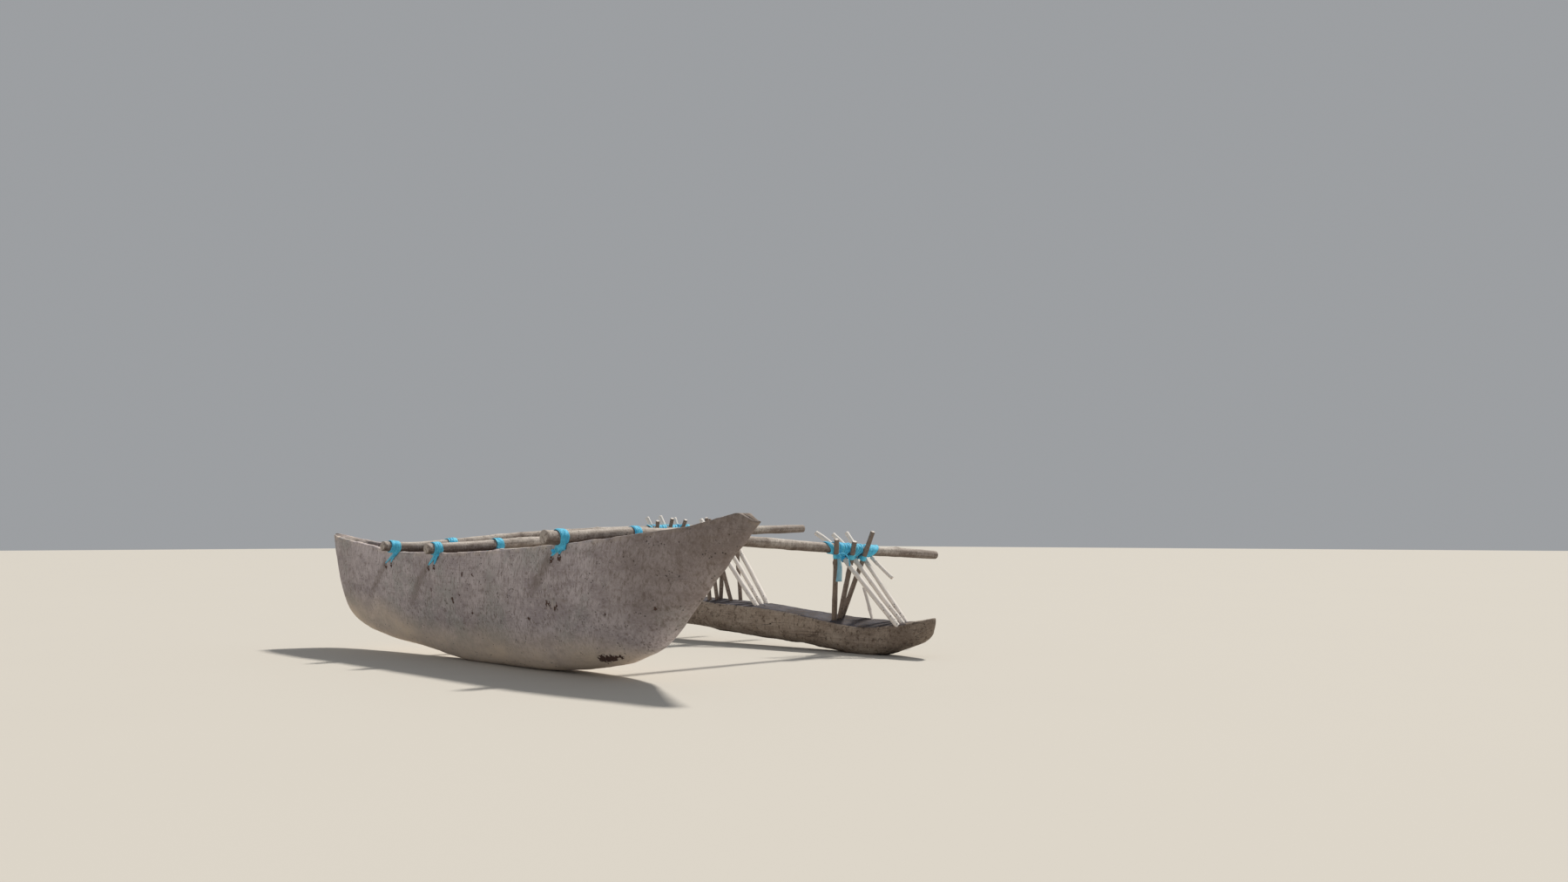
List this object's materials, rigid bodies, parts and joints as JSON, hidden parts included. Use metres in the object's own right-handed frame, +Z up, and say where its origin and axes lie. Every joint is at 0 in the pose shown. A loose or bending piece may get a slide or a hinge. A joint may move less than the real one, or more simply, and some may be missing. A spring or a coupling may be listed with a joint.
{
  "type": "outrigger canoe",
  "caption": "Small dugout outrigger canoe with a sharp raked bow, natural cross poles lashed over its gunwales and a log float carried on crossed sticks.",
  "frame": {"origin": "on the ground, under the centre of the bounding box of the whole canoe as it rests on its keel and the bow end of its float", "axes": "+X to the bow, +Y to the float's side (port), +Z up; the hull itself leans 3 degrees away from the float"},
  "size_m": [3.569, 2.784, 0.7637],
  "materials": {
    "hull_wood": "hewn, weathered grey-brown, bare",
    "float_wood": "weathered, cracked, bare",
    "pole_wood": "sun-bleached, bare",
    "stick_wood": "sun-bleached, bare",
    "dark_stick_wood": "dark weathered bark",
    "cloth_strip": "faded blue cloth strips"
  },
  "bodies": {
    "root": {"hull": "hull_wood", "boom_bow": "pole_wood", "boom_mid": "pole_wood", "boom_stern": "pole_wood", "gunwale_lashing_bow_starboard": "cloth_strip", "gunwale_lashing_bow_port": "cloth_strip", "gunwale_lashing_mid_starboard": "cloth_strip", "gunwale_lashing_mid_port": "cloth_strip", "gunwale_lashing_stern_starboard": "cloth_strip", "gunwale_lashing_stern_port": "cloth_strip", "float_log": "float_wood", "stick_bow_fore_1": "stick_wood", "stick_bow_fore_2": "stick_wood", "stick_bow_fore_3": "stick_wood", "stick_bow_aft_1": "dark_stick_wood", "stick_bow_aft_2": "dark_stick_wood", "stick_bow_aft_3": "dark_stick_wood", "stick_mid_fore_1": "stick_wood", "stick_mid_fore_2": "stick_wood", "stick_mid_fore_3": "stick_wood", "stick_mid_aft_1": "dark_stick_wood", "stick_mid_aft_2": "dark_stick_wood", "stick_mid_aft_3": "dark_stick_wood", "stick_mid_aft_4": "dark_stick_wood", "stick_mid_aft_5": "dark_stick_wood", "stick_stern_fore_1": "stick_wood", "stick_stern_fore_2": "stick_wood", "stick_stern_fore_3": "stick_wood", "stick_stern_aft_1": "dark_stick_wood", "stick_stern_aft_2": "dark_stick_wood", "stick_stern_aft_3": "dark_stick_wood", "wedge_stick_bow": "stick_wood", "thin_stick_bow": "dark_stick_wood", "float_lashing_bow": "cloth_strip", "float_lashing_mid": "cloth_strip", "float_lashing_stern": "cloth_strip", "lashing_tail_bow": "cloth_strip"}
  },
  "joints": []
}
